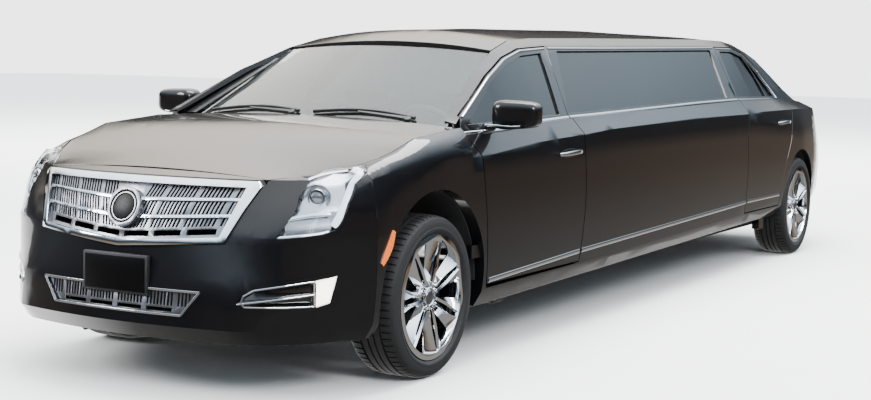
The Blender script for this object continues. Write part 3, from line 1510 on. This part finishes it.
# ---------------------------------------------------------------- cabin
@dataclass
class Cushion:
    """Padded block of a seat: crowned, pulled in between its corners, with sewn channels and piping."""
    low: Triple
    high: Triple
    top: int = 2
    channels: int = 0
    across: int = 1
    squareness: int = 9
    shrink: float = 0.985
    pull: float = 0.02
    edge_height: float = 0.955
    channel_depth: float = 0.10
    channel_width: float = 0.07
    piping_inset: float = 0.965
    piping_height: float = 0.90
    # (across, outwards) section of the piping
    piping_section: tuple[Pair, ...] = ((-3, -3), (3, -3), (3, 3), (-3, 3))

    def build(self, name: str) -> None:
        """Makes the cushion and its piping.

        Args:
            name: the cushion's name.
        """
        low, high = corners(self.low, self.high)
        self.pad(name, (low + high) / 2, (high - low) / 2)
        self.piping(name, (low + high) / 2, (high - low) / 2)

    def pad(self, name: str, centre: Vector, half: Vector) -> None:
        """Makes the padded block.

        Args:
            name: its name.
            centre: its middle.
            half: half its size.
        """
        mesh = bmesh.new()
        bmesh.ops.create_cube(mesh, size=2.0)
        bmesh.ops.subdivide_edges(mesh, edges=mesh.edges, cuts=19, use_grid_fill=True)
        for vert in mesh.verts:
            q = vert.co.copy()
            p = q / sum(abs(c) ** self.squareness for c in q) ** (1 / self.squareness)
            free = [1 - c ** 2 for c in p]
            crown = (1 - self.edge_height) * math.prod(free[i] for i in range(3) if i != self.top)
            for i in range(3):
                if i != self.top:
                    p[i] *= self.shrink - self.pull * free[3 - i - self.top] * (1 - free[self.top])
            p[self.top] *= self.edge_height + crown - self.groove(q)
            vert.co = Vector([c + h * s for c, h, s in zip(centre, half, p)])
        pad = publish(mesh, name, LEATHER, ROOT, 180.0)
        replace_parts(pad, "seats")

    def groove(self, q: Vector) -> float:
        """Depth of the sewn channels at a point of the block before it is rounded.

        Args:
            q: the point, each coordinate from -1 to 1.

        Returns:
            The depth as a share of the half-height.
        """
        phase = (q[self.across] + 1) / 2 * self.channels
        if q[self.top] <= 0.5 or not 0.2 < phase < self.channels - 0.2:
            return 0.0
        return self.channel_depth * math.exp(-((phase - round(phase)) / self.channel_width) ** 2)

    def piping(self, name: str, centre: Vector, half: Vector, steps: int = 64) -> None:
        """Makes the piping round the cushion's top.

        Args:
            name: the cushion's name.
            centre: its middle.
            half: half its size.
            steps: points round the piping.
        """
        first, second = [i for i in range(3) if i != self.top]
        path = []
        for k in range(steps + 1):
            turn = math.tau * k / steps
            c, s = math.cos(turn), math.sin(turn)
            reach = self.piping_inset / (abs(c) ** self.squareness + abs(s) ** self.squareness) ** (1 / self.squareness)
            point = centre.copy()
            point[first] += half[first] * c * reach
            point[second] += half[second] * s * reach
            point[self.top] += half[self.top] * self.piping_height
            path.append(point)
        mesh = bmesh.new()
        sweep(mesh, path, self.piping_section, Matrix.Identity(3)[self.top])
        publish(mesh, name + "_piping", CABIN, ROOT, 60.0)


@dataclass
class Cabin:
    """Front seats, the side bench, the rear bench and the plinths that carry them."""
    floor: float = 318.0
    side_pitch: float = 487.0
    rear_pitch: float = 413.3

    def build(self) -> None:
        """Makes the cushions in place of the plain seats."""
        z = self.floor
        for name, side in SIDES.items():
            near, far = side * 120, side * 640
            Cushion((-1500, near, z + 150), (-1000, far, z + 330), 2, 4).build("seat_cushion_" + name)
            Cushion((-1545, near, z + 300), (-1415, far, z + 690), 0, 4).build("seat_back_" + name)
            Cushion((-1540, side * 260, z + 710), (-1440, side * 500, z + 858), 0).build("head_rest_" + name)
        for k in range(4):
            back = -2100 - self.side_pitch * k
            Cushion((back, -790, z + 190), (back - 480, -325, z + 400), 2, 3, 0).build(f"side_bench_{k}")
        for k in range(3):
            y = -620 + self.rear_pitch * k
            Cushion((-4300, y, z + 190), (-4850, y + 410, z + 400), 2, 3).build(f"rear_bench_{k}")
            Cushion((-4730, y, z + 385), (-4875, y + 410, z + 858), 0, 3).build(f"rear_back_{k}")
        plinths = bmesh.new()
        for first, second in (
            *[((-1480, 140 * side, z), (-1020, 620 * side, z + 165)) for side in SIDES.values()],
            ((-2102, -788, z), (-4045, -335, z + 200)), ((-4302, -618, z), (-4845, 618, z + 200)),
        ):
            bar(plinths, *corners(first, second), 12)
        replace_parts(publish(plinths, "seat_plinths", CABIN, ROOT), "seats")


# ---------------------------------------------------------------- tail
@dataclass
class Tail:
    """Chrome blade, plain plate blank, bumper strip and the inner lines of the tail lamps."""
    blade_half: float = 470.0
    blade_height: float = 800.0
    # half-width, foot and top
    plate: Triple = (156, 505, 657)
    strip_half: float = 700.0
    strip_height: float = 400.0
    # distance from the middle at which the lamps' lines start, and their length
    line_start: float = 545.0
    line_run: float = 205.0
    # height over the ground, width and thickness of the red lines and of the reversing lamp
    red_lines: tuple[Triple, ...] = ((935, 9, 3), (880, 9, 3))
    reversing: tuple[Triple, ...] = ((818, 26, 3.5),)

    def build(self, surface: Surface) -> None:
        """Makes the pieces of the tail.

        Args:
            surface: the car's outside.
        """
        blade, plate, strip = [bmesh.new() for _ in range(3)]
        sweep(blade, self.across(surface, self.blade_half, self.blade_height, 16), rounded(22, 9), -AHEAD,
              swelling(0.55, 1.0))
        publish(blade, "trunk_blade", CHROME, body_of("trunk_lid"))
        x = min(self.back(surface, y, z).x for y in (-150, 0, 150) for z in (520, 620))
        slab(plate, x, (-10, 30), self.plate, 3)
        publish(plate, "rear_plate_blank", PLATE, ROOT)
        self.lamps()
        sweep(strip, self.across(surface, self.strip_half, self.strip_height, 24), rounded(14, 6), -AHEAD)
        publish(strip, "rear_bumper_strip", CHROME, ROOT)

    @staticmethod
    def back(surface: Surface, y: float, z: float) -> Vector:
        """Rearmost point at a distance from the middle and a height, in millimetres."""
        return surface.cast(Vector((-5.0, y * MM, z * MM)), AHEAD)[0]

    def across(self, surface: Surface, half: float, z: float, steps: int) -> list[Vector]:
        """Follows the tail's skin from side to side.

        Args:
            surface: the car's outside.
            half: how far the line reaches to each side, in millimetres.
            z: its height in millimetres.
            steps: number of its stretches.

        Returns:
            Its points, a millimetre under the skin.
        """
        return [self.back(surface, half * (2 * k / steps - 1), z) + AHEAD * MM for k in range(steps + 1)]

    def lamps(self) -> None:
        """Makes the light lines in the tail lamps and their reversing strips."""
        surface = Surface(["tail_lamps"])
        for name, side in SIDES.items():
            for piece, finish, lines in (("tail_lamp_lines_", TAIL_GLOW, self.red_lines),
                                         ("reversing_lamp_", GUIDE, self.reversing)):
                mesh = bmesh.new()
                for z, width, height in lines:
                    hits = [self.on_lamp(surface, side * (self.line_start + self.line_run * k / 8), z)
                            for k in range(9)]
                    lean = sum((normal for _, normal in hits), Vector()).normalized()
                    sweep(mesh, [p - lean * MM for p, _ in hits], rounded(width, height), lean)
                publish(mesh, piece + name, finish, ROOT)

    @staticmethod
    def on_lamp(surface: Surface, y: float, z: float) -> Hit:
        """Finds a point on the rear of a tail lamp.

        Args:
            surface: the tail lamps' surface.
            y: distance from the middle in millimetres.
            z: height in millimetres.

        Returns:
            The point and its normal.
        """
        behind = surface.nearest(Vector((-4.2, 1.02 * y * MM, z * MM)))[0]
        return surface.nearest(Vector((behind.x, y * MM, z * MM)))


# ---------------------------------------------------------------- stage
@dataclass(frozen=True)
class Lamp:
    """A rectangular soft lamp: its place, what it is aimed at, its size in metres and its power in watts."""
    name: str
    location: Triple
    aim: Triple
    size: Pair
    power: float
    mirrored: bool = True

    def build(self) -> None:
        """Hangs the lamp."""
        data = bpy.data.lights.new(self.name, "AREA")
        data.shape = "RECTANGLE"
        data.size, data.size_y = self.size
        data.energy = self.power
        lamp = bpy.data.objects.new(self.name, data)
        lamp.location = self.location
        lamp.rotation_euler = (Vector(self.aim) - Vector(self.location)).to_track_quat("-Z", "Y").to_euler()
        lamp.visible_glossy = self.mirrored
        bpy.context.scene.collection.objects.link(lamp)


@dataclass
class Studio:
    """Pale floor, soft light and the camera."""
    floor_half: float = 60.0
    location: Triple = (8.4794, 4.0943, 1.3686)
    yaw: float = math.radians(29.45)
    pitch: float = math.radians(5.29)
    roll: float = math.radians(1.22)
    lens: float = 63.43
    # (height of a direction, colour): dark drapes round the car, and the tall screen behind its right side
    drapes: tuple[tuple[float, str], ...] = ((0.0, "#84705f"), (0.03, "#161616"), (0.13, "#56636f"),
                                             (0.33, "#a9bac8"), (0.8, "#e6ecf2"))
    screen: tuple[tuple[float, str], ...] = ((0.0, "#ffffff"), (0.07, "#26292d"), (0.20, "#1f2326"),
                                             (0.34, "#e6ddd0"), (1.0, "#f4f7fb"))
    ground: str = "#a5a29d"
    white: float = 3.6
    screen_way: Triple = (-0.62, -0.78, 0.0)
    screen_edge: Pair = (0.5, 0.72)
    band_edge: Pair = (0.045, 0.065)
    ground_edge: Pair = (-0.04, -0.2)
    ceiling_edge: Pair = (0.2, 0.5)
    ceiling_power: float = 4.4
    lamps: tuple[Lamp, ...] = (
        Lamp("overhead", (0.0, 1.0, 6.0), (-0.5, 0.0, 0.6), (8.0, 3.0), 1500.0),
        Lamp("behind", (-11.0, -7.0, 8.0), (-13.0, -8.0, 0.0), (16.0, 12.0), 5200.0, False),
        Lamp("front_left", (6.5, 6.5, 4.6), (1.5, 0.0, 0.7), (3.0, 2.0), 520.0),
        Lamp("front_right", (7.5, -4.5, 3.6), (2.5, 0.0, 0.7), (2.5, 1.8), 420.0),
    )

    def build(self) -> None:
        """Sets the stage."""
        self.floor()
        self.sky()
        for lamp in self.lamps:
            lamp.build()
        self.camera()

    def floor(self) -> None:
        """Lays the floor, a wide sheet that the paint and chrome don't mirror."""
        mesh = bmesh.new()
        bmesh.ops.create_grid(mesh, x_segments=1, y_segments=1, size=self.floor_half)
        data = bpy.data.meshes.new("studio_floor")
        mesh.to_mesh(data)
        mesh.free()
        data.materials.append(FLOOR.build())
        floor = bpy.data.objects.new("studio_floor", data)
        bpy.context.scene.collection.objects.link(floor)
        floor.visible_glossy = False

    def sky(self) -> None:
        """Surrounds the car with what its paint mirrors; the camera itself sees only white."""
        world = bpy.data.worlds.new("studio")
        bpy.context.scene.world = world
        world.use_nodes = True
        tree = world.node_tree
        way = add(tree, "TexCoord", {}).outputs["Generated"]
        height = add(tree, "SeparateXYZ", {"Vector": way}).outputs["Z"]
        aside = add(tree, "VectorMath", {0: way, 1: self.screen_way}, operation="DOT_PRODUCT").outputs["Value"]
        on_screen = self.share(tree, aside, self.screen_edge)
        low = self.share(tree, height, self.band_edge, (1.0, 0.0))
        band = add(tree, "Math", {0: on_screen, 1: low}, operation="MULTIPLY").outputs[0]
        seen = add(tree, "LightPath", {}).outputs["Is Camera Ray"]
        pale = add(tree, "Math", {0: band, 1: seen}, operation="MAXIMUM").outputs[0]
        colour = self.mixed(tree, on_screen, self.ramp(tree, height, self.drapes), self.ramp(tree, height, self.screen))
        colour = self.mixed(tree, self.share(tree, height, self.ground_edge), colour, srgb(self.ground))
        colour = self.mixed(tree, pale, colour, (self.white, self.white, self.white, 1.0))
        power = self.share(tree, height, self.ceiling_edge, (1.0, self.ceiling_power))
        feed(tree, tree.nodes["Background"], {"Color": colour, "Strength": power})

    @staticmethod
    def share(tree: bpy.types.NodeTree, value: bpy.types.NodeSocket, span: Pair,
              result: Pair = (0.0, 1.0)) -> bpy.types.NodeSocket:
        """Maps a value from one span to another.

        Args:
            tree: the world's tree.
            value: the value's socket.
            span: where it starts and ends.
            result: what it becomes there.

        Returns:
            The new value's socket.
        """
        return add(tree, "MapRange", {"Value": value, "From Min": span[0], "From Max": span[1],
                                      "To Min": result[0], "To Max": result[1]}).outputs["Result"]

    @staticmethod
    def ramp(tree: bpy.types.NodeTree, height: bpy.types.NodeSocket,
             stops: Sequence[tuple[float, str]]) -> bpy.types.NodeSocket:
        """Gives a colour by height.

        Args:
            tree: the world's tree.
            height: the height's socket.
            stops: (height, sRGB code) of each stop, from the lowest up.

        Returns:
            The colour's socket.
        """
        node = add(tree, "ValToRGB", {"Fac": height})
        elements = node.color_ramp.elements
        for element, (position, code) in zip(elements, (stops[0], stops[-1])):
            element.position, element.color = position, srgb(code)
        for position, code in stops[1:-1]:
            elements.new(position).color = srgb(code)
        return node.outputs["Color"]

    @staticmethod
    def mixed(tree: bpy.types.NodeTree, factor: bpy.types.NodeSocket, first: bpy.types.NodeSocket,
              second: bpy.types.NodeSocket | tuple[float, ...]) -> bpy.types.NodeSocket:
        """Blends two colours.

        Args:
            tree: the world's tree.
            factor: the second colour's share.
            first: the first colour.
            second: the second colour.

        Returns:
            The blend's socket.
        """
        return add(tree, "Mix", {0: factor, 6: first, 7: second}, data_type="RGBA").outputs[2]

    def camera(self) -> None:
        """Places the camera low before the left front corner, a little tilted."""
        data = bpy.data.cameras.new("camera")
        data.lens, data.sensor_width = self.lens, 36.0
        data.dof.use_dof = False
        level = math.cos(self.pitch)
        ahead = Vector((-math.cos(self.yaw) * level, -math.sin(self.yaw) * level, -math.sin(self.pitch)))
        right = ahead.cross(UP).normalized()
        up = right.cross(ahead)
        tilted = math.cos(self.roll) * right + math.sin(self.roll) * up
        raised = math.cos(self.roll) * up - math.sin(self.roll) * right
        pose = Matrix((tilted, raised, -ahead)).transposed().to_4x4()
        pose.translation = self.location
        camera = bpy.data.objects.new("camera", data)
        camera.matrix_world = pose
        bpy.context.scene.collection.objects.link(camera)
        bpy.context.scene.camera = camera


def main() -> None:
    """Builds the whole scene."""
    logging.basicConfig(level=logging.INFO, format="%(name)s %(message)s")
    finish_nodes()
    outside = Surface(PAINTED + ("grilles", "fog_lamps", "headlamps"))
    Bodywork().build()
    for hand in SIDES:
        for end in ("front", "rear"):
            Wheel(end, hand).build()
    Grille().build(outside)
    Headlamp().build()
    FogLamp().build(outside)
    Trim().build(outside)
    Front().build(outside)
    for seal in SEALS:
        seal.build()
    for hand in SIDES:
        Mirror(hand).build()
    Cabin().build()
    Tail().build(outside)
    Studio().build()


if __name__ == "__main__":
    main()
